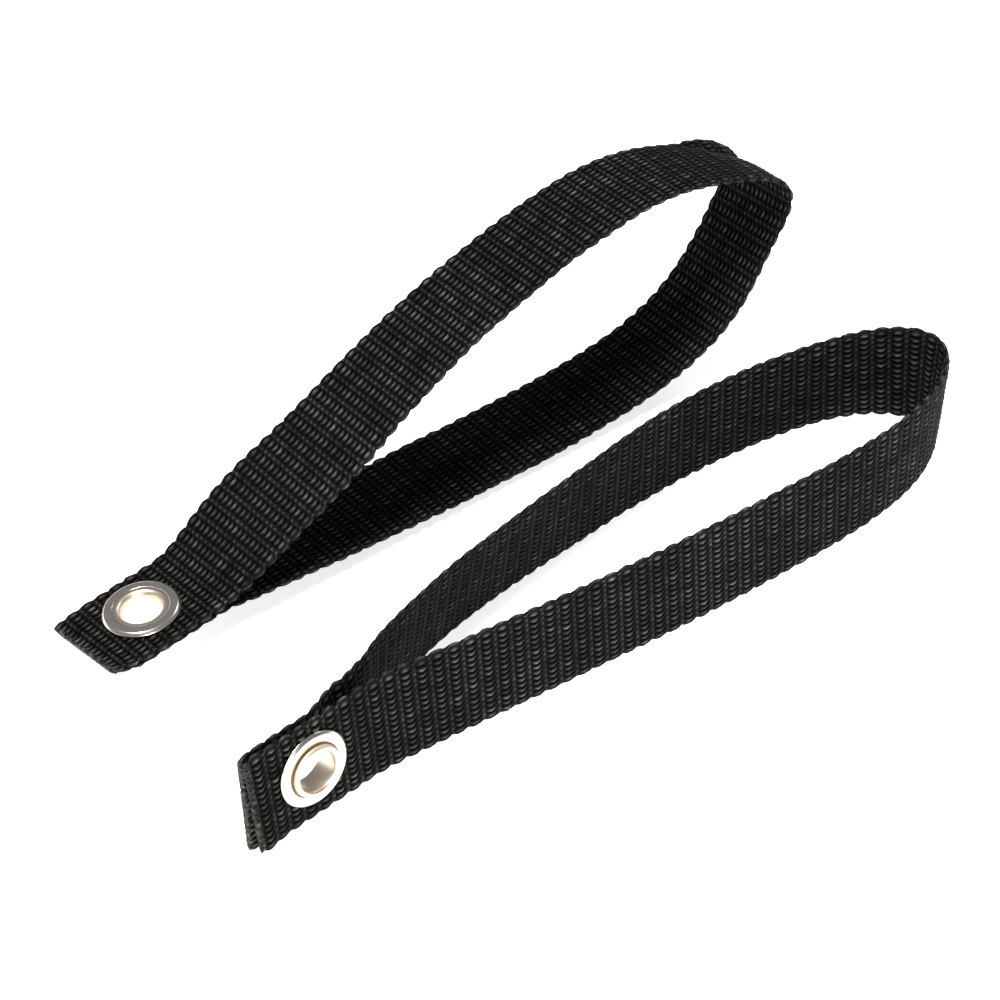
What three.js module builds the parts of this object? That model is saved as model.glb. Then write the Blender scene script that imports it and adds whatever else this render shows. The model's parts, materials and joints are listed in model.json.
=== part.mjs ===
// Pair of webbing tie-down loops. Each loop is one strip of woven webbing folded in half, with both
// cut ends laid together and held by a two-piece eyelet: a flange with a barrel, and a washer.
//
// Millimetres, +Z up. Loop 1 lies on its edge, and loop 2 stands on its lower leg beside it.
// Each loop has its own frame: x runs along the loop from the cut ends towards the far bend, with
// x = 0 on the line where the loop folds against the eyelet end; y is the way the loop opens, with
// the flange on the +y side; z runs across the webbing.

import * as THREE from 'three';
import { mergeVertices } from 'three/addons/utils/BufferGeometryUtils.js';

// ---- driving dimensions -------------------------------------------------------------------------

const WEBBING_WIDTH = 25;
const WEBBING_THICKNESS = 1.6;
const WEBBING_CHAMFER = 0.4;
const GAP = 0.3;                          // clearance between neighbouring solids

const CUT_END_X = -28;                    // both layers of webbing start here
const TAB_END_X = -3.3;                   // the flat layers stop here, clear of the fold

const FLANGE_RADIUS = 9;
const FLAT_OUTER_RADIUS = 8.3;            // flat ring of flange and washer
const FLAT_INNER_RADIUS = 6.7;
const FLANGE_HEIGHT = 0.8;
const THROAT_RADIUS = 4.8;
const BARREL_WALL = 0.4;
const ROLL_RADIUS = 0.7;                  // rolled end of the barrel
const WASHER_HEIGHT = 0.6;
const WASHER_DISH = 0.2;
const RIM_HEIGHT = 0.3;                   // outer edge of flange and washer

const LOOP_STEPS = 84;
const LATHE_SEGMENTS = 40;
const HOLE_SEGMENTS = 20;

// ---- worked out ---------------------------------------------------------------------------------

const LAYER_Y = (WEBBING_THICKNESS + GAP) / 2;             // middle of each webbing layer
const STACK_HALF = LAYER_Y + WEBBING_THICKNESS / 2;
const SEAT_Y = STACK_HALF + GAP;                           // where flange and washer start
const BARREL_RADIUS = THROAT_RADIUS + BARREL_WALL;
const HOLE_RADIUS = BARREL_RADIUS + GAP;

// ---- the two loops ------------------------------------------------------------------------------
// A station is [x, y, z, roll]: a control point of the loop's middle line, and the angle in degrees
// that the webbing is rolled there about its own length. The line leaves the fold on the +y side.

const FOLD_OUT = [[0, LAYER_Y, 0, 0], [5, LAYER_Y + 0.3, 0, 2]];
const FOLD_BACK = [[8, -LAYER_Y, 0, 0], [0, -LAYER_Y, 0, 0]];

const LOOPS = [
  {
    name: 'strap_1',
    eyeletX: -11.6,
    eyeletZ: 0.5,
    place: [-84.8, -44.6, 13.6],
    heading: 0,
    pitch: 0,
    lean: -7,
    standing: false,
    stations: [
      [11, 8.5, 0, 6], [23, 13.5, 0.5, 12], [46, 19.5, 1, 17], [90, 21, 1.5, 12], [120, 21.5, 2, 7],
      [148, 16, 2, 8], [168, 8, 2, 6], [177, -4, 1.5, -6], [172, -14.5, 1, -10],
      [152, -23, 0.5, -7], [116, -20, 0, -4], [80, -14.5, -0.5, -4], [44, -7.5, -0.5, -3],
      [22, -3.5, 0, -1],
    ],
  },
  {
    name: 'strap_2',
    eyeletX: -11.5,
    eyeletZ: -0.4,
    place: [-76.1, 21.3, 5.6],
    heading: -2.5,
    pitch: 5.3,
    lean: -5.8,
    standing: true,
    stations: [
      [16, 6.5, 0, 9], [30, 12, 0.5, 12], [43, 16, 1, 7], [76, 31, 2, 1], [127, 40.5, 4, 0],
      [150, 34.5, 5, -2], [179, 21, 6, 1], [164, 6.5, 6, 6], [150, -10, 5, 3],
      [122, -15.5, 3, -2], [86, -12.5, 2, -4], [42, -7.5, 0.5, -2],
    ],
  },
];

// ---- materials ----------------------------------------------------------------------------------

const webbingMaterial = new THREE.MeshStandardMaterial({
  color: 0x2b2d2b, roughness: 0.75, metalness: 0,
});
const flangeMaterial = new THREE.MeshStandardMaterial({
  color: 0xd2ccc3, roughness: 0.28, metalness: 1,
});
const washerMaterial = new THREE.MeshStandardMaterial({
  color: 0xd9d6d0, roughness: 0.3, metalness: 1,
});

// ---- helpers ------------------------------------------------------------------------------------

// Uniform cubic B-spline through a list of control points of any size. A point mirrored past each
// end makes the curve start and finish exactly on its first and last control points.
function splinePoint(points, u) {
  const last = points.length - 1;
  const at = (i, k) => {
    if (i < 0) return 2 * points[0][k] - points[1][k];
    if (i > last) return 2 * points[last][k] - points[last - 1][k];
    return points[i][k];
  };
  const i = Math.min(Math.floor(u * last), last - 1);
  const f = u * last - i;
  const weights = [
    (1 - f) ** 3 / 6,
    (3 * f ** 3 - 6 * f ** 2 + 4) / 6,
    (-3 * f ** 3 + 3 * f ** 2 + 3 * f + 1) / 6,
    f ** 3 / 6,
  ];
  return points[0].map((_, k) => weights.reduce((sum, w, j) => sum + w * at(i - 1 + j, k), 0));
}

// The webbing's frame at u, from 0 at one end of the loop to 1 at the other.
function webbingFrame(stations, u) {
  const step = 1e-3;
  const here = splinePoint(stations, u);
  const before = new THREE.Vector3(...splinePoint(stations, Math.max(u - step, 0)));
  const after = new THREE.Vector3(...splinePoint(stations, Math.min(u + step, 1)));
  const along = after.sub(before).normalize();
  const across = new THREE.Vector3(0, 0, 1).addScaledVector(along, -along.z).normalize();
  across.applyAxisAngle(along, THREE.MathUtils.degToRad(here[3]));
  const face = new THREE.Vector3().crossVectors(along, across);
  return { middle: new THREE.Vector3(here[0], here[1], here[2]), across, face };
}

// Cross-section of the webbing: width along x, thickness along y, with chamfered edges.
function webbingSection() {
  const w = WEBBING_WIDTH / 2;
  const t = WEBBING_THICKNESS / 2;
  const c = WEBBING_CHAMFER;
  return new THREE.Shape([
    [-w, -t + c], [-w + c, -t], [w - c, -t], [w, -t + c],
    [w, t - c], [w - c, t], [-w + c, t], [-w, t - c],
  ].map(([x, y]) => new THREE.Vector2(x, y)));
}

function weld(geometry) {
  geometry.deleteAttribute('uv');
  geometry.deleteAttribute('normal');
  const welded = mergeVertices(geometry, 1e-5);
  welded.computeVertexNormals();
  return welded;
}

// ---- pieces -------------------------------------------------------------------------------------

// The free part of the strip: a straight extrusion bent onto the loop's line.
function loopGeometry(stations) {
  const geometry = new THREE.ExtrudeGeometry(webbingSection(), {
    depth: 1, steps: LOOP_STEPS, bevelEnabled: false,
  });
  const position = geometry.getAttribute('position');
  const point = new THREE.Vector3();
  for (let i = 0; i < position.count; i += 1) {
    const frame = webbingFrame(stations, position.getZ(i));
    point.copy(frame.middle)
      .addScaledVector(frame.across, position.getX(i))
      .addScaledVector(frame.face, position.getY(i));
    position.setXYZ(i, point.x, point.y, point.z);
  }
  return weld(geometry);
}

// One flat layer of webbing at the eyelet, with the hole that the barrel passes through.
function tabGeometry(loop, middleY) {
  const w = WEBBING_WIDTH / 2;
  const outline = new THREE.Shape([
    new THREE.Vector2(CUT_END_X, -w), new THREE.Vector2(TAB_END_X, -w),
    new THREE.Vector2(TAB_END_X, w), new THREE.Vector2(CUT_END_X, w),
  ]);
  const hole = new THREE.Path();
  hole.absarc(loop.eyeletX, loop.eyeletZ, HOLE_RADIUS, 0, 2 * Math.PI, true);
  outline.holes.push(hole);
  const geometry = new THREE.ExtrudeGeometry(outline, {
    depth: WEBBING_THICKNESS, bevelEnabled: false, curveSegments: HOLE_SEGMENTS,
  });
  geometry.rotateX(Math.PI / 2);
  geometry.translate(0, middleY + WEBBING_THICKNESS / 2, 0);
  return weld(geometry);
}

// Points of an arc in a lathe profile, from one angle to another in degrees.
function arc(centreR, centreY, radius, from, to, count) {
  return Array.from({ length: count + 1 }, (_, i) => {
    const angle = THREE.MathUtils.degToRad(from + ((to - from) * i) / count);
    return new THREE.Vector2(centreR + radius * Math.cos(angle), centreY + radius * Math.sin(angle));
  });
}

// Flange, barrel and the barrel's rolled end, in one piece. The profile goes round anticlockwise.
function eyeletGeometry() {
  const top = SEAT_Y + FLANGE_HEIGHT;
  const throatRound = FLAT_INNER_RADIUS - THROAT_RADIUS;
  const rollSeat = -(SEAT_Y + WASHER_HEIGHT + GAP);
  const rollR = THROAT_RADIUS + ROLL_RADIUS;
  const profile = [
    new THREE.Vector2(FLANGE_RADIUS, SEAT_Y + RIM_HEIGHT),
    new THREE.Vector2(FLAT_OUTER_RADIUS, top),
    ...arc(FLAT_INNER_RADIUS, top - throatRound, throatRound, 90, 180, 5),
    ...arc(rollR, rollSeat, ROLL_RADIUS, 180, 360, 6),
    new THREE.Vector2(BARREL_RADIUS, rollSeat),
    new THREE.Vector2(BARREL_RADIUS, SEAT_Y),
    new THREE.Vector2(FLANGE_RADIUS, SEAT_Y),
  ];
  return latheGeometry(profile);
}

// Ring under the rolled end: flat outside, and dished towards the barrel.
function washerGeometry() {
  const outer = -(SEAT_Y + WASHER_HEIGHT);
  return latheGeometry([
    new THREE.Vector2(FLANGE_RADIUS, -SEAT_Y),
    new THREE.Vector2(HOLE_RADIUS, -SEAT_Y),
    new THREE.Vector2(HOLE_RADIUS, outer + WASHER_DISH),
    new THREE.Vector2(FLAT_INNER_RADIUS, outer),
    new THREE.Vector2(FLAT_OUTER_RADIUS, outer),
    new THREE.Vector2(FLANGE_RADIUS, -SEAT_Y - RIM_HEIGHT),
  ]);
}

// Turns a closed profile about the eyelet's axis.
function latheGeometry(profile) {
  return weld(new THREE.LatheGeometry([...profile, profile[0]], LATHE_SEGMENTS));
}

function mesh(name, geometry, material) {
  const made = new THREE.Mesh(geometry, material);
  made.name = name;
  return made;
}

// ---- assembly -----------------------------------------------------------------------------------

function buildLoop(loop) {
  const stations = [...FOLD_OUT, ...loop.stations, ...FOLD_BACK];
  const eyelet = mesh(`${loop.name}_eyelet`, eyeletGeometry(), flangeMaterial);
  const washer = mesh(`${loop.name}_washer`, washerGeometry(), washerMaterial);
  eyelet.position.set(loop.eyeletX, 0, loop.eyeletZ);
  washer.position.set(loop.eyeletX, 0, loop.eyeletZ);
  const group = new THREE.Group();
  group.add(
    mesh(`${loop.name}_tab_front`, tabGeometry(loop, LAYER_Y), webbingMaterial),
    mesh(`${loop.name}_tab_back`, tabGeometry(loop, -LAYER_Y), webbingMaterial),
    mesh(`${loop.name}_loop`, loopGeometry(stations), webbingMaterial),
    eyelet,
    washer,
  );
  const upright = loop.standing ? 90 : 0;
  group.rotation.order = 'ZYX';
  group.rotation.set(
    THREE.MathUtils.degToRad(loop.lean + upright),
    THREE.MathUtils.degToRad(-loop.pitch),
    THREE.MathUtils.degToRad(loop.heading),
  );
  group.position.set(...loop.place);
  return group;
}

// The pair stands with the middle of its footprint at the origin and its lowest point on z = 0.
function buildPair() {
  const loops = new THREE.Group();
  loops.add(...LOOPS.map(buildLoop));
  const pair = new THREE.Group();
  pair.add(loops);
  pair.updateMatrixWorld(true);
  const box = new THREE.Box3().setFromObject(pair, true);
  const centre = box.getCenter(new THREE.Vector3());
  loops.position.set(-centre.x, -centre.y, -box.min.z);
  pair.updateMatrixWorld(true);
  return pair;
}

export default buildPair();
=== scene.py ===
"""Looks for the pair of webbing tie-down loops: woven strips, crimped eyelets, floor and light."""
import json
import math

import bmesh
import bpy
import numpy as np
from mathutils import Matrix, Vector


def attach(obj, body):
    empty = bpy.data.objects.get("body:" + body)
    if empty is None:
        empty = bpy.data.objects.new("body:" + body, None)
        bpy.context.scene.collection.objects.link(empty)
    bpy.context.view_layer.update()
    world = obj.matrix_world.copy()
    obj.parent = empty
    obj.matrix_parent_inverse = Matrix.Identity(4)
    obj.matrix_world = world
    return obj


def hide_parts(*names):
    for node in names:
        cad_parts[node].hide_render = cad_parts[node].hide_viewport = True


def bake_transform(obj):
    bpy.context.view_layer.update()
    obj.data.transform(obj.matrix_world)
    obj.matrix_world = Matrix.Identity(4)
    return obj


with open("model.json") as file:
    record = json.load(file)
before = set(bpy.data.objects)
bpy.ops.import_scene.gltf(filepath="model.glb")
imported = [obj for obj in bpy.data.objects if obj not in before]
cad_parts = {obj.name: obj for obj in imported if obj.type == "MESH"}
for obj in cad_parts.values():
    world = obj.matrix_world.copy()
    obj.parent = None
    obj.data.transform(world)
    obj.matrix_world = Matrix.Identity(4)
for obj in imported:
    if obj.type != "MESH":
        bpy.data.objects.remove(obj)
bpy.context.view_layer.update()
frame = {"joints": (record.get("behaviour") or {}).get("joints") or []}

JOINTS = {joint["name"]: joint for joint in frame["joints"]}
MM = 0.001

# ---- sizes, in millimetres -----------------------------------------------------------------------

WIDTH = 25.0
THICKNESS = 1.6
LAYER_Y = 0.95               # middle of each webbing layer at the eyelet
CUT_END_X = -28.0
FLAT_STEPS = 120             # points on the middle line of each flat layer
LOOP_STEPS = 1600            # points on the middle line of the loop
SELVEDGE = 0.6               # radius of the rounded edge
HOLE_RADIUS = 5.5
FLANGE_RADIUS = 9.3          # the webbing lies flat inside this, under the flange and the washer
SEAT = 1.72                  # webbing surface under the flange and the washer
THROAT = 4.8

# The weave. Heights are shares of KNUCKLE_HEIGHT, from 0 in the gaps to 1 on a full knuckle.
REPEATS = 107                # weave repeats along one strip
ROWS = 16                    # knuckle rows across the webbing
PER_ROW = 4                  # mesh columns for each row
COLUMNS = PER_ROW * ROWS + 1
EDGE_POINTS = 3              # mesh points round each selvedge
KNUCKLE_HEIGHT = 0.6
EDGE_RELIEF = 0.5            # the outermost gap is filled by the yarn that turns round the edge
SEALED_RELIEF = 0.75         # the melted cut ends fill the gaps of the weave
CORNER_SHARE = 0.05          # how far the selvedges draw in at the cut ends
PEAK = 0.31                  # where a wide knuckle is highest, as a share of the repeat

# One weave repeat has seven mesh sections: five across a wide knuckle, two over a narrow ridge.
SECTION_AT = np.array([0.01, 0.14, PEAK, 0.48, 0.62, 0.76, 0.84])
WIDE_HEIGHT = np.array([0.34, 0.84, 1.0, 0.88, 0.34, 0.0, 0.0])
NARROW_HEIGHT = np.array([0.16, 0.0, 0.0, 0.0, 0.16, 0.86, 0.82])
BOW_SHARE = np.array([-0.34, 0.30, 0.60, 0.30, -0.40, -0.40, -0.40])
SECTIONS = len(SECTION_AT)

# The pinch at the far bend of the upper loop.
CREASE_AT = 0.490            # share of the strip's length at the middle of the pinch
CREASE_REACH = 14.0
CREASE_WIDTH = 8.5

# Control points of each loop's middle line, as [x, y, z, roll]: see strap_path. A strap's bow is how
# far the middle of a knuckle stands to one side of its ends. A standing loop opens upwards, so its
# eyelet end lies flat; the other loop opens sideways, so its webbing stands on edge.
STRAPS = [
    {
        "name": "strap_1", "fold": "strap_1_fold",
        "eyelet_x": -11.6, "eyelet_z": 0.5, "bow": -0.55,
        "heading": 0.0, "pitch": 0.0, "lean": -7.0, "standing": False,
        "stations": [
            [0, LAYER_Y, 0, 0], [5, LAYER_Y + 0.3, 0, 2],
            [11, 8.5, 0, 6], [23, 13.5, 0.5, 12], [46, 19.5, 1, 17], [90, 21, 1.5, 12],
            [120, 21.5, 2, 7], [148, 16, 2, 8], [168, 8, 2, 6], [177, -4, 1.5, -6],
            [172, -14.5, 1, -10], [152, -23, 0.5, -7], [116, -20, 0, -4], [80, -14.5, -0.5, -4],
            [44, -7.5, -0.5, -3], [22, -3.5, 0, -1],
            [8, -LAYER_Y, 0, 0], [0, -LAYER_Y, 0, 0],
        ],
    },
    {
        "name": "strap_2", "fold": "strap_2_fold",
        "eyelet_x": -11.5, "eyelet_z": -0.4, "bow": 0.45,
        "heading": -2.5, "pitch": 5.3, "lean": -5.8, "standing": True,
        "stations": [
            [0, LAYER_Y, 0, 0], [5, LAYER_Y + 0.3, 0, 2],
            [16, 6.5, 0, 9], [30, 12, 0.5, 12], [43, 16, 1, 7], [76, 31, 2, 1], [127, 40.5, 4, 0],
            [150, 34.5, 5, -2], [179, 21, 6, 1], [164, 6.5, 6, 6], [150, -10, 5, 3],
            [122, -15.5, 3, -2], [86, -12.5, 2, -4], [42, -7.5, 0.5, -2],
            [8, -LAYER_Y, 0, 0], [0, -LAYER_Y, 0, 0],
        ],
    },
]


# ---- camera --------------------------------------------------------------------------------------

def make_camera():
    """Looks at the pair from the photograph's angle, aimed from the first fold's place."""
    fold = Vector(JOINTS["strap_1_fold"]["pos_m"])
    target = fold + Vector((0.0848, 0.0446, -0.0136))
    elevation = math.radians(42)
    turn = math.radians(43)
    distance = 0.845
    outward = Vector((-math.sin(turn) * math.cos(elevation),
                      -math.cos(turn) * math.cos(elevation),
                      math.sin(elevation)))
    data = bpy.data.cameras.new("camera")
    data.sensor_width = 36.0
    data.lens = 131.4
    data.clip_end = 20.0
    camera = bpy.data.objects.new("camera", data)
    camera.location = target + outward * distance
    camera.rotation_euler = (-outward).to_track_quat("-Z", "Y").to_euler()
    bpy.context.collection.objects.link(camera)
    bpy.context.scene.camera = camera


# ---- node helpers --------------------------------------------------------------------------------

class Nodes:
    """A short way to write a material's node tree."""

    def __init__(self, name):
        self.material = bpy.data.materials.new(name)
        self.material.use_nodes = True
        self.tree = self.material.node_tree
        self.shader = self.tree.nodes["Principled BSDF"]

    def add(self, kind, inputs=None, **settings):
        node = self.tree.nodes.new(kind)
        for key, value in settings.items():
            setattr(node, key, value)
        for key, value in (inputs or {}).items():
            self.put(node.inputs[key], value)
        return node

    def put(self, socket, value):
        if isinstance(value, bpy.types.NodeSocket):
            self.tree.links.new(value, socket)
        else:
            socket.default_value = value

    def math(self, operation, a, b=0.0):
        return self.add("ShaderNodeMath", {0: a, 1: b}, operation=operation).outputs[0]

    def product(self, a, b):
        inputs = {0: 1.0, 6: a, 7: b}
        return self.add("ShaderNodeMix", inputs, data_type="RGBA", blend_type="MULTIPLY").outputs[2]

    def noise(self, vector, scale, detail=3.0):
        inputs = {"Vector": vector, "Scale": scale, "Detail": detail}
        return self.add("ShaderNodeTexNoise", inputs).outputs["Fac"]

    def ramp(self, factor, stops):
        node = self.add("ShaderNodeValToRGB", {"Fac": factor})
        elements = node.color_ramp.elements
        while len(elements) < len(stops):
            elements.new(0.5)
        for element, (position, value) in zip(elements, stops):
            element.position = position
            element.color = (*value, 1.0) if isinstance(value, tuple) else (value,) * 3 + (1.0,)
        return node.outputs["Color"]

    def scaled(self, vector, scale):
        inputs = {"Vector": vector, "Scale": scale}
        return self.add("ShaderNodeMapping", inputs).outputs["Vector"]

    def bump(self, height, strength, distance, normal=None):
        inputs = {"Height": height, "Strength": strength, "Distance": distance}
        if normal is not None:
            inputs["Normal"] = normal
        return self.add("ShaderNodeBump", inputs).outputs["Normal"]


def webbing_material():
    """Black polypropylene yarn: fine filaments along the strip, with painted shade in the weave's
    gaps and painted highlights on the knuckle tops.
    """
    n = Nodes("webbing")
    uv = n.add("ShaderNodeUVMap", uv_map="weave").outputs["UV"]
    relief = n.add("ShaderNodeAttribute", attribute_name="relief").outputs["Fac"]
    tone = n.add("ShaderNodeAttribute", attribute_name="tone").outputs["Fac"]
    filaments = n.noise(n.scaled(uv, (0.5, 7.0, 1.0)), 1.0, 2.0)
    fibres = n.noise(n.scaled(uv, (1.6, 22.0, 1.0)), 1.0, 3.0)
    # Base colour follows the weave's relief: near black in the gaps is painted shade, and the pale
    # knuckle tops are painted highlights.
    painted_shade_and_highlight = n.ramp(relief, [(0.28, (0.0006, 0.0006, 0.0005)), (0.58, (0.0095, 0.0095, 0.0087)),
                          (0.82, (0.044, 0.044, 0.0405)), (1.0, (0.135, 0.135, 0.1255))])
    yarn = n.ramp(filaments, [(0.3, 0.60), (0.7, 1.45)])
    patch = n.ramp(tone, [(0.0, 0.8), (1.0, 1.22)])
    n.put(n.shader.inputs["Base Color"], n.product(n.product(painted_shade_and_highlight, yarn), patch))
    rough = n.add("ShaderNodeMapRange", {"Value": fibres, "To Min": 0.40, "To Max": 0.58})
    n.put(n.shader.inputs["Roughness"], rough.outputs["Result"])
    coarse = n.bump(filaments, 0.55, 0.00012)
    n.put(n.shader.inputs["Normal"], n.bump(fibres, 0.5, 0.00006, coarse))
    n.shader.inputs["Specular IOR Level"].default_value = 0.025
    return n.material


def plated_material(name, colour, warm, roughness):
    """Satin plate on pressed brass: a cloudy tone, a fine grain, and brass where it is worn."""
    n = Nodes(name)
    place = n.add("ShaderNodeTexCoord").outputs["Object"]
    cloud = n.noise(place, 260.0, 4.0)
    grain = n.noise(place, 5200.0, 2.0)
    worn = n.add("ShaderNodeAttribute", attribute_name="worn").outputs["Fac"]
    base = n.ramp(cloud, [(0.3, tuple(c * 0.93 for c in colour)), (0.7, colour)])
    tint = n.add("ShaderNodeMix", {0: worn, 6: base, 7: (*warm, 1.0)}, data_type="RGBA")
    n.put(n.shader.inputs["Base Color"], tint.outputs[2])
    n.shader.inputs["Metallic"].default_value = 1.0
    rough = n.add("ShaderNodeMapRange", {"Value": grain, "To Min": roughness * 0.8,
                                         "To Max": roughness * 1.25})
    dull = n.math("MULTIPLY", worn, 0.55)
    n.put(n.shader.inputs["Roughness"], n.math("ADD", rough.outputs["Result"], dull))
    n.put(n.shader.inputs["Normal"], n.bump(grain, 0.12, 0.00002))
    return n.material


# ---- strap geometry ------------------------------------------------------------------------------

def smooth(low, high, value):
    t = np.clip((value - low) / (high - low), 0.0, 1.0)
    return t * t * (3.0 - 2.0 * t)


def spline(points, count):
    """Uniform cubic B-spline that starts and ends on its first and last control points."""
    p = np.vstack([2 * points[0] - points[1], points, 2 * points[-1] - points[-2]])
    spans = len(points) - 1
    u = np.linspace(0.0, spans, count)
    i = np.minimum(u.astype(int), spans - 1)
    f = (u - i)[:, None]
    return ((1 - f) ** 3 * p[i] + (3 * f ** 3 - 6 * f ** 2 + 4) * p[i + 1]
            + (-3 * f ** 3 + 3 * f ** 2 + 3 * f + 1) * p[i + 2] + f ** 3 * p[i + 3]) / 6.0


def strap_path(strap):
    """Middle line and roll of the whole strip, from one cut end round to the other."""
    loop = spline(np.array(strap["stations"], float), LOOP_STEPS)
    flat = np.linspace(CUT_END_X, 0.0, FLAT_STEPS, endpoint=False)
    level = np.full(FLAT_STEPS, LAYER_Y)
    zero = np.zeros(FLAT_STEPS)
    start = np.column_stack([flat, level, zero, zero])
    end = np.column_stack([flat[::-1], -level, zero, zero])
    line = np.vstack([start, loop, end])
    steps = np.linalg.norm(np.diff(line[:, :3], axis=0), axis=1)
    return line, np.concatenate([[0.0], np.cumsum(steps)])


def strap_frames(strap, at):
    """Middle points, width directions and face directions at lengths along the strip."""
    line, length = strap_path(strap)
    middle = np.column_stack([np.interp(at, length, line[:, k]) for k in range(3)])
    roll = np.radians(np.interp(at, length, line[:, 3]))[:, None]
    step = 0.6
    ahead = np.column_stack([np.interp(at + step, length, line[:, k]) for k in range(3)])
    behind = np.column_stack([np.interp(at - step, length, line[:, k]) for k in range(3)])
    along = ahead - behind
    along /= np.linalg.norm(along, axis=1, keepdims=True)
    up = np.array([0.0, 0.0, 1.0])
    across = up - along * along[:, 2:3]
    across /= np.linalg.norm(across, axis=1, keepdims=True)
    side = np.cross(along, across)
    across = across * np.cos(roll) + side * np.sin(roll)
    return middle, across, np.cross(along, across)


def strap_matrix(strap):
    """From the strap's own frame, in millimetres, to the row frame, in metres."""
    upright = 90.0 if strap["standing"] else 0.0
    turn = (Matrix.Rotation(math.radians(strap["heading"]), 4, "Z")
            @ Matrix.Rotation(math.radians(-strap["pitch"]), 4, "Y")
            @ Matrix.Rotation(math.radians(strap["lean"] + upright), 4, "X"))
    place = Vector(JOINTS[strap["fold"]]["pos_m"])
    return Matrix.Translation(place) @ turn @ Matrix.Scale(MM, 4)


def length_samples(total):
    """Lengths along the strip of all the mesh sections."""
    at = (np.arange(REPEATS)[:, None] + SECTION_AT[None]).ravel()
    return np.append(at, REPEATS) * total / REPEATS


def knuckles(sections, rng):
    """Height of the weave on one face of the strip."""
    phase = (np.arange(COLUMNS) % PER_ROW) / PER_ROW
    from_top = np.abs(2 * phase - 1)
    wide = 1.0 - from_top ** 1.7
    narrow = 0.60 + 0.40 * from_top
    section = np.arange(sections) % SECTIONS
    height = (WIDE_HEIGHT[section][:, None] * wide[None]
              + NARROW_HEIGHT[section][:, None] * narrow[None])
    repeat = np.arange(sections) // SECTIONS
    row = np.minimum(np.arange(COLUMNS) // PER_ROW, ROWS - 1)
    uneven = rng.normal(0.95, 0.07, (repeat.max() + 1, ROWS))
    height = np.clip(height * uneven[repeat][:, row], 0.0, 1.25)
    height[:, [0, -1]] = np.maximum(height[:, [0, -1]], EDGE_RELIEF)
    return height


def scallop(at, total):
    """1 where a wide knuckle is highest and 0 halfway between two of them."""
    return np.abs(np.cos(math.pi * (at * REPEATS / total - PEAK)))


def selvedge_line(at, total, rng):
    """How far each selvedge stands out: one small scallop for each weave repeat."""
    wander = np.interp(at, np.linspace(0, total, 40), rng.normal(0.0, 0.10, 40))
    uneven = np.interp(at, np.linspace(0, total, REPEATS), rng.normal(1.0, 0.18, REPEATS))
    rough = rng.normal(0.0, 0.06, len(at))
    return uneven * (0.62 * scallop(at, total) - 0.36) + wander + rough


def ring_places():
    """Places across the strip of one section's points: front, one selvedge, back, the other."""
    half = WIDTH / 2 - SELVEDGE
    v = np.linspace(-half, half, COLUMNS)
    edge = SELVEDGE * np.array([0.65, 1.0, 0.65])
    return np.concatenate([v, half + edge, v[::-1], -half - edge])


def weave_relief(at, total, rng):
    """Height of the weave at every point of the skin, filled in at the sealed cut ends."""
    front = knuckles(len(at), rng)
    back = knuckles(len(at), rng)
    unevenness = rng.normal(0.0, 0.10, (2, len(at), EDGE_POINTS))
    rims = 0.40 + 0.42 * scallop(at, total)[:, None] + unevenness
    relief = np.hstack([front, rims[0], back[:, ::-1], rims[1]])
    near_end = np.minimum(at, total - at)[:, None]
    sealed = 1.0 - smooth(0.3, 1.5, near_end)
    lumps = SEALED_RELIEF + rng.normal(0.0, 0.16, relief.shape)
    return relief * (1.0 - sealed) + lumps * sealed


def skin_offset(relief, ring_v):
    """Distance of every point of the skin from the strip's middle surface, front side positive."""
    back = slice(COLUMNS + EDGE_POINTS, 2 * COLUMNS + EDGE_POINTS)
    edge_level = np.array([0.55, 0.0, -0.55]) * THICKNESS / 2
    out = THICKNESS / 2 - KNUCKLE_HEIGHT * (1.0 - relief)
    out[:, COLUMNS:back.start] = edge_level
    out[:, back] *= -1
    out[:, back.stop:] = -edge_level
    half = WIDTH / 2 - SELVEDGE
    taper = 1.0 - 0.35 * smooth(half - 1.2, half, np.abs(ring_v))
    return out * taper[None]


def place_across(strap, at, total, ring_v, low, high):
    """Places across the strip, with scalloped selvedges, drawn-in corners and bowed knuckles."""
    grow = (high[:, None] * smooth(9.5, 12.5, ring_v)[None]
            - low[:, None] * smooth(9.5, 12.5, -ring_v)[None])
    corner = 1.0 - smooth(0.0, 2.4, np.minimum(at, total - at)[:, None])
    bow = strap["bow"] * BOW_SHARE[np.arange(len(at)) % SECTIONS]
    inner = 1.0 - smooth(9.0, 12.0, np.abs(ring_v))
    return (ring_v[None] + grow) * (1.0 - CORNER_SHARE * corner) + bow[:, None] * inner[None]


def webbing_grid(strap, rng):
    """The woven strip as sections of points: its frames, places across, offsets and relief."""
    total = strap_path(strap)[1][-1]
    at = length_samples(total)
    middle, across, face = strap_frames(strap, at)
    ring_v = ring_places()
    low = selvedge_line(at, total, rng)
    high = selvedge_line(at, total, rng)
    relief = weave_relief(at, total, rng)
    return {"at": at, "total": total, "middle": middle, "across": across, "face": face,
            "v": place_across(strap, at, total, ring_v, low, high),
            "offset": skin_offset(relief, ring_v), "relief": relief}


def hole_centres(strap, grid):
    """Lengths along the strip of its two eyelet holes, one near each cut end."""
    reach = strap["eyelet_x"] - CUT_END_X
    return reach, grid["total"] - reach


def cut_hole(strap, grid):
    """Marks the cells inside both layers' eyelet holes."""
    at = grid["at"]
    from_eyelet = grid["v"][:, :COLUMNS] - strap["eyelet_z"]
    middle_v = ((from_eyelet[:, 1:] + from_eyelet[:, :-1]) / 2)[1:]
    removed = np.zeros((len(at) - 1, COLUMNS - 1), bool)
    for centre in hole_centres(strap, grid):
        ds = at[:, None] - centre
        middle_s = (ds[1:] + ds[:-1]) / 2
        removed |= np.hypot(middle_s, middle_v) < HOLE_RADIUS + 0.5
    return removed


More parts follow.
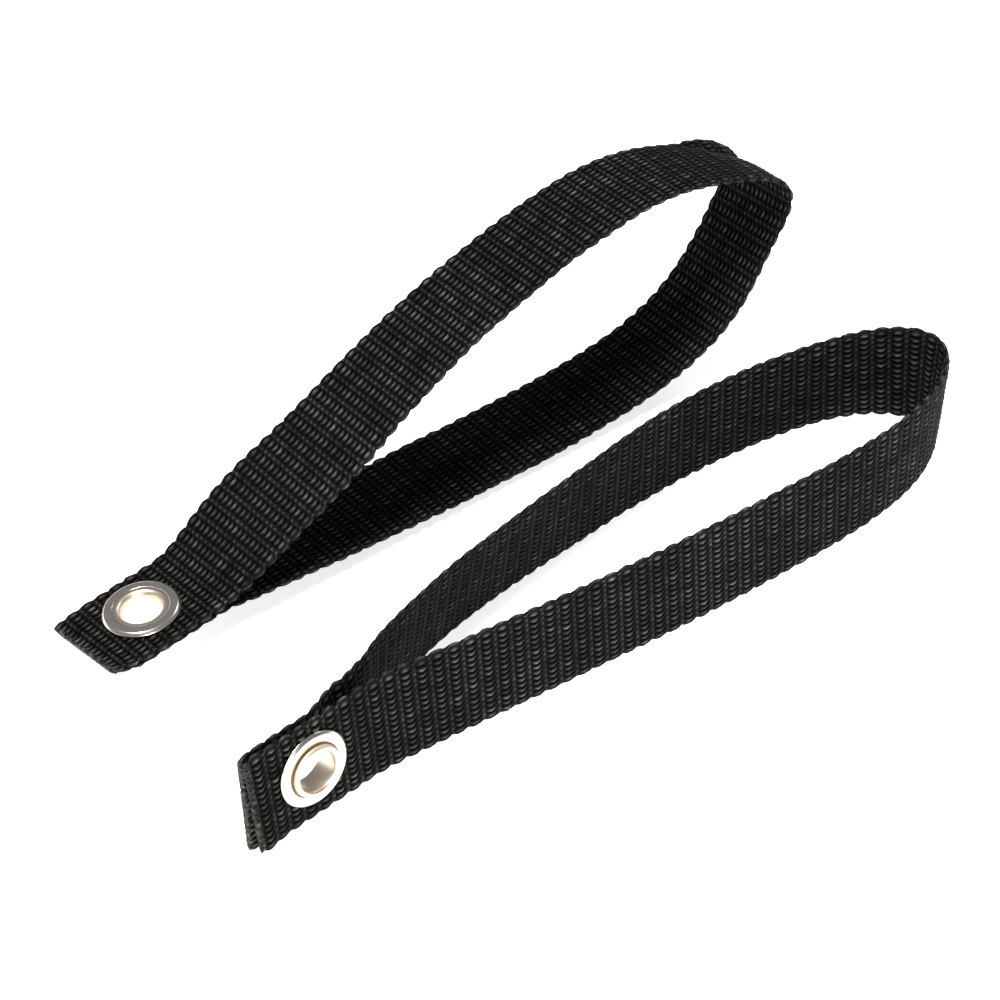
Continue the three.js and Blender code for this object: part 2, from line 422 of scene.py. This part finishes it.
def snap_rim(strap, grid, removed):
    """Moves the hole's rim points onto its circle, along the strip and across it."""
    touch = np.zeros((len(grid["at"]), COLUMNS), int)
    for i, k in ((0, 0), (0, 1), (1, 0), (1, 1)):
        touch[i:i + removed.shape[0], k:k + removed.shape[1]] += removed
    rim = (touch > 0) & (touch < 4)
    shift = np.zeros((len(grid["at"]), COLUMNS))
    v = grid["v"][:, :COLUMNS].copy()
    for centre in hole_centres(strap, grid):
        ds = grid["at"][:, None] - centre + np.zeros_like(v)
        dv = v - strap["eyelet_z"]
        near = rim & (np.hypot(ds, dv) < 3 * HOLE_RADIUS)
        pull = HOLE_RADIUS / np.maximum(np.hypot(ds, dv), 1e-6)
        shift = np.where(near, ds * (pull - 1), shift)
        v = np.where(near, strap["eyelet_z"] + dv * pull, v)
    back = slice(COLUMNS + EDGE_POINTS, 2 * COLUMNS + EDGE_POINTS)
    grid["v"][:, :COLUMNS] = v
    grid["v"][:, back] = v[:, ::-1]
    grid["shift"] = np.zeros_like(grid["v"])
    grid["shift"][:, :COLUMNS] = shift
    grid["shift"][:, back] = shift[:, ::-1]


def webbing_faces(sections, removed):
    """Quads of the strip's skin, its two cut ends and the walls of its holes."""
    back = COLUMNS + EDGE_POINTS
    ring = 2 * back
    index = np.arange(sections * ring).reshape(sections, ring)
    i, k = np.meshgrid(np.arange(sections - 1), np.arange(ring), indexing="ij")
    following = (k + 1) % ring
    quads = np.stack([index[i, k], index[i, following], index[i + 1, following], index[i + 1, k]], -1)
    keep = np.ones((sections - 1, ring), bool)
    keep[:, :COLUMNS - 1] = ~removed
    keep[:, back:back + COLUMNS - 1] = ~removed[:, ::-1]
    faces = quads[keep].tolist()
    partner = np.arange(back + COLUMNS - 1, back - 1, -1)
    for section, turn in ((0, 1), (sections - 1, -1)):
        faces += cap_faces(index[section], partner, turn)
    return faces + wall_faces(index, removed, partner)


def cap_faces(loop, partner, turn):
    """The faces of one cut end: a quad for each column, and one face at each selvedge."""
    faces = [[loop[k], loop[partner[k]], loop[partner[k + 1]], loop[k + 1]]
             for k in range(COLUMNS - 1)]
    last = 2 * COLUMNS + EDGE_POINTS - 1
    right = [loop[COLUMNS - 1 + j] for j in range(EDGE_POINTS + 2)]
    left = [loop[(last + j) % len(loop)] for j in range(EDGE_POINTS + 2)]
    faces += [right[::-1], left[::-1]]
    return [face[::turn] for face in faces]


def wall_faces(index, removed, partner):
    """One quad for each edge between a kept cell and a removed one."""
    faces = []
    rows, cols = removed.shape
    for i, k in zip(*np.nonzero(removed)):
        sides = (((i - 1, k), (i, k), (i, k + 1)), ((i + 1, k), (i + 1, k + 1), (i + 1, k)),
                 ((i, k - 1), (i + 1, k), (i, k)), ((i, k + 1), (i, k + 1), (i + 1, k + 1)))
        for other, a, b in sides:
            inside = 0 <= other[0] < rows and 0 <= other[1] < cols
            if inside and not removed[other]:
                faces.append([index[a[0], a[1]], index[b[0], b[1]],
                              index[b[0], partner[b[1]]], index[a[0], partner[a[1]]]])
    return faces


def lie_of_tab(strap, grid):
    """Small moves near the eyelet, where the two layers don't lie dead flat on each other."""
    at = grid["at"][:, None]
    near_end = np.minimum(at, grid["total"] - at)
    second = at > grid["total"] / 2
    loose = 1.0 - smooth(0.0, 9.0, near_end)
    across = grid["v"] / (WIDTH / 2)
    x = near_end + CUT_END_X
    from_eyelet = np.hypot(x - strap["eyelet_x"], grid["v"] - strap["eyelet_z"])
    clear = smooth(FLANGE_RADIUS, 13.0, from_eyelet)
    if strap["standing"]:
        return lie_of_flat_tab(second, loose, across, x, clear)
    return lie_of_upright_tab(second, loose, across, x, clear)


def lie_of_flat_tab(second, loose, across, x, clear):
    """The cut ends curl up together, and the under layer's near selvedge is tucked in."""
    move = np.zeros(across.shape + (3,))
    tuck = clear * smooth(0.2, 1.0, across) * (1.0 - smooth(2.0, 12.0, x))
    move[..., 0] = loose * np.where(second, 1.1, 0.0)
    move[..., 1] = loose * (1.1 * across + 0.5) * np.where(second, 1.05, 0.80)
    move[..., 2] = -tuck * second
    return move


def lie_of_upright_tab(second, loose, across, x, clear):
    """The cut ends part at the bottom, and the far layer opens a little before the hinge."""
    move = np.zeros(across.shape + (3,))
    lower = (1.0 - across) / 2
    opening = smooth(-11.0, 2.0, x) * (1.0 - smooth(3.0, 15.0, x)) * clear
    move[..., 0] = loose * lower * np.where(second, 0.0, -0.7)
    move[..., 1] = loose * np.where(second, -0.5 + 0.7 * across, 0.15 - 0.25 * across)
    move[..., 1] += np.where(second, 0.0, 3.3) * opening * (0.6 + 0.4 * across)
    move[..., 2] = loose * lower * np.where(second, 0.0, -1.0)
    return move


def crease(strap, grid):
    """Depth of the pinch where the upper loop turns back: one selvedge bulges over a valley."""
    if not strap["standing"]:
        return np.zeros_like(grid["v"])
    from_middle = (grid["at"][:, None] - CREASE_AT * grid["total"]) / CREASE_REACH
    along = np.exp(-from_middle ** 4)
    past_valley = grid["v"] + WIDTH / 2 - CREASE_WIDTH * along
    bulge = 1.0 - smooth(-5.0, 0.0, past_valley)
    valley = np.exp(-(past_valley / 2.8) ** 2)
    dip = np.exp(-((from_middle + 1.25) / 0.45) ** 2) * smooth(5.0, 12.0, -grid["v"])
    return along * (0.35 * bulge - 0.9 * valley) - 0.5 * dip


def build_webbing(strap, material, seed):
    """One strip as a single woven mesh, in its place."""
    rng = np.random.default_rng(seed)
    grid = webbing_grid(strap, rng)
    removed = cut_hole(strap, grid)
    snap_rim(strap, grid, removed)
    along = np.gradient(grid["middle"], axis=0)
    along /= np.linalg.norm(along, axis=1, keepdims=True)
    points = (grid["middle"][:, None]
              + along[:, None] * grid["shift"][..., None]
              + grid["across"][:, None] * grid["v"][..., None]
              + grid["face"][:, None] * (grid["offset"] - crease(strap, grid))[..., None])
    points += lie_of_tab(strap, grid)
    matrix = np.array(strap_matrix(strap))
    flat = points.reshape(-1, 3) @ matrix[:3, :3].T + matrix[:3, 3]
    faces = webbing_faces(len(grid["at"]), removed)
    kept = np.unique(np.concatenate([np.ravel(face) for face in faces]))
    renumber = np.zeros(len(flat), int)
    renumber[kept] = np.arange(len(kept))
    faces = [[int(renumber[corner]) for corner in face] for face in faces]
    piece = new_mesh(f"{strap['name']}_webbing", flat[kept], faces, material)
    paint_webbing(piece, grid, rng, kept)
    return piece


def new_mesh(name, points, faces, material):
    """A smooth-shaded piece with outward normals."""
    mesh = bpy.data.meshes.new(name)
    mesh.from_pydata([tuple(p) for p in points], [], faces)
    work = bmesh.new()
    work.from_mesh(mesh)
    bmesh.ops.recalc_face_normals(work, faces=work.faces)
    work.to_mesh(mesh)
    work.free()
    mesh.shade_smooth()
    mesh.materials.append(material)
    piece = bpy.data.objects.new(name, mesh)
    bpy.context.collection.objects.link(piece)
    return piece


def paint_webbing(piece, grid, rng, kept):
    """Stores the weave's relief, its place along and across, and a slow change of tone."""
    mesh = piece.data
    sections, ring = grid["v"].shape
    slow = np.interp(grid["at"], np.linspace(0, grid["total"], 60), rng.random(60))
    place = np.stack([np.broadcast_to(grid["at"][:, None], (sections, ring)), grid["v"]], -1)
    place = place.reshape(-1, 2)[kept]
    store(mesh, "relief", grid["relief"].ravel()[kept])
    store(mesh, "tone", np.repeat(slow, ring)[kept])
    corner = np.zeros(len(mesh.loops), np.int32)
    mesh.loops.foreach_get("vertex_index", corner)
    layer = mesh.uv_layers.new(name="weave")
    layer.data.foreach_set("uv", place[corner].astype(np.float32).ravel())


def store(mesh, name, values):
    attribute = mesh.attributes.new(name, "FLOAT", "POINT")
    attribute.data.foreach_set("value", np.asarray(values, np.float32))


# ---- eyelets -------------------------------------------------------------------------------------

def arc(r, h, radius, start, end, count):
    """Profile points round a centre at radius r and height h, between two angles in degrees."""
    angles = np.radians(np.linspace(start, end, count))
    return [(r + radius * math.cos(a), h + radius * math.sin(a)) for a in angles]


def eyelet_profile():
    """Flange, barrel and rolled end, as radius and height towards the flange side."""
    top = SEAT + 1.13
    profile = arc(8.72, SEAT + 0.30, 0.28, -90, 40, 7)
    profile += [(8.55, top - 0.24), (8.38, top - 0.05), (8.2, top), (7.4, top + 0.02), (6.7, top)]
    profile += arc(6.35, top - 1.35, 1.35, 84, 66, 4)
    profile += arc(5.9, top - 1.1, 1.1, 70, 180, 14)
    roll = -(SEAT + 1.25)
    profile += [(THROAT, 0.6), (THROAT, -0.6)]
    profile += arc(THROAT + 0.68, roll, 0.68, 180, 375, 22)
    profile += [(5.75, roll + 0.26), (5.35, roll + 0.12), (5.25, roll + 0.5)]
    profile += [(5.22, 0.0), (5.25, top - 1.2), (5.6, top - 0.62), (6.4, top - 0.40)]
    profile += [(8.2, top - 0.42)]
    return profile


def washer_profile():
    """Dished ring with a step down to the rolled end, as radius and height."""
    top = SEAT + 0.86
    profile = arc(8.75, SEAT + 0.22, 0.25, -90, 45, 6)
    profile += [(8.62, top - 0.28), (8.4, top - 0.1), (8.1, top - 0.01)]
    profile += [(7.4, top + 0.04), (6.7, top)]
    profile += [(6.48, top - 0.08), (6.34, top - 0.26), (6.26, top - 0.50), (5.5, top - 0.56)]
    profile += [(5.5, top - 0.80), (6.2, top - 0.76), (6.7, top - 0.40), (8.0, top - 0.36)]
    return [(r, -h) for r, h in profile][::-1]


def lathe(name, profile, strap, material, segments=160):
    """A closed ring turned about the eyelet's axis, with its worn places stored on it."""
    count = len(profile)
    angles = np.linspace(0, 2 * math.pi, segments, endpoint=False)
    r = np.array([p[0] for p in profile])
    h = np.array([p[1] for p in profile])
    x = strap["eyelet_x"] + r[None] * np.cos(angles)[:, None]
    z = strap["eyelet_z"] + r[None] * np.sin(angles)[:, None]
    y = np.broadcast_to(h, x.shape)
    matrix = np.array(strap_matrix(strap))
    points = np.stack([x, y, z], -1).reshape(-1, 3) @ matrix[:3, :3].T + matrix[:3, 3]
    faces = []
    for i in range(segments):
        j = (i + 1) % segments
        for k in range(count):
            m = (k + 1) % count
            faces.append([i * count + k, i * count + m, j * count + m, j * count + k])
    ring = new_mesh(name, points, faces, material)
    rolled_edge = np.exp(-((r - 6.1) / 0.22) ** 2) * (h < 0.0)
    throat = 1.0 - smooth(5.2, 6.6, r)
    worn = np.maximum(0.8 * rolled_edge, 0.28 * throat)
    store(ring.data, "worn", np.tile(worn, segments))
    return ring


# ---- stage ---------------------------------------------------------------------------------------

def make_floor():
    """A pale floor, lit a little from within so that its shadows stay faint."""
    bpy.ops.mesh.primitive_plane_add(size=12.0, location=(0, 0, -0.0002))
    floor = bpy.context.object
    floor.name = "floor"
    n = Nodes("floor")
    n.shader.inputs["Base Color"].default_value = (0.9, 0.9, 0.9, 1.0)
    n.shader.inputs["Roughness"].default_value = 0.9
    n.shader.inputs["Emission Color"].default_value = (1.0, 1.0, 1.0, 1.0)
    n.shader.inputs["Emission Strength"].default_value = 0.78
    floor.data.materials.append(n.material)


def area_light(name, location, size, power):
    data = bpy.data.lights.new(name, "AREA")
    data.shape = "DISK"
    data.size = size
    data.energy = power
    light = bpy.data.objects.new(name, data)
    light.location = location
    light.rotation_euler = (-Vector(location)).to_track_quat("-Z", "Y").to_euler()
    bpy.context.collection.objects.link(light)


def make_light():
    """Soft studio light: a key from above, a low front light and a weak one from behind."""
    scene = bpy.context.scene
    scene.view_settings.view_transform = "Standard"
    world = bpy.data.worlds.new("studio")
    world.use_nodes = True
    world.node_tree.nodes["Background"].inputs["Color"].default_value = (1.0, 1.0, 1.0, 1.0)
    world.node_tree.nodes["Background"].inputs["Strength"].default_value = 0.2
    scene.world = world
    area_light("key", (-0.55, 0.06, 1.25), 0.45, 19.0)
    area_light("front", (-0.70, -1.20, 0.42), 0.6, 14.0)
    area_light("back", (1.2, 0.1, 1.0), 0.6, 5.0)


# ---- assembly ------------------------------------------------------------------------------------


def build_strap(strap, seed, webbing, flange, washer):
    """One loop: its strip, its flange ring and its washer ring."""
    name = strap["name"]
    strip = build_webbing(strap, webbing, seed)
    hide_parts(f"{name}_tab_front", f"{name}_tab_back", f"{name}_loop")
    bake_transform(strip)
    ring = lathe(f"{name}_flange_ring", eyelet_profile(), strap, flange)
    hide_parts(f"{name}_eyelet")
    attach(ring, f"{name}_tab")
    under = lathe(f"{name}_washer_ring", washer_profile(), strap, washer)
    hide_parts(f"{name}_washer")
    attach(under, f"{name}_tab")


make_camera()
webbing = webbing_material()
flange = plated_material("flange_plate", (0.89, 0.82, 0.75), (0.80, 0.62, 0.40), 0.24)
washer = plated_material("washer_plate", (0.80, 0.76, 0.68), (0.78, 0.58, 0.36), 0.24)
for seed, strap in enumerate(STRAPS):
    build_strap(strap, seed, webbing, flange, washer)
make_floor()
make_light()
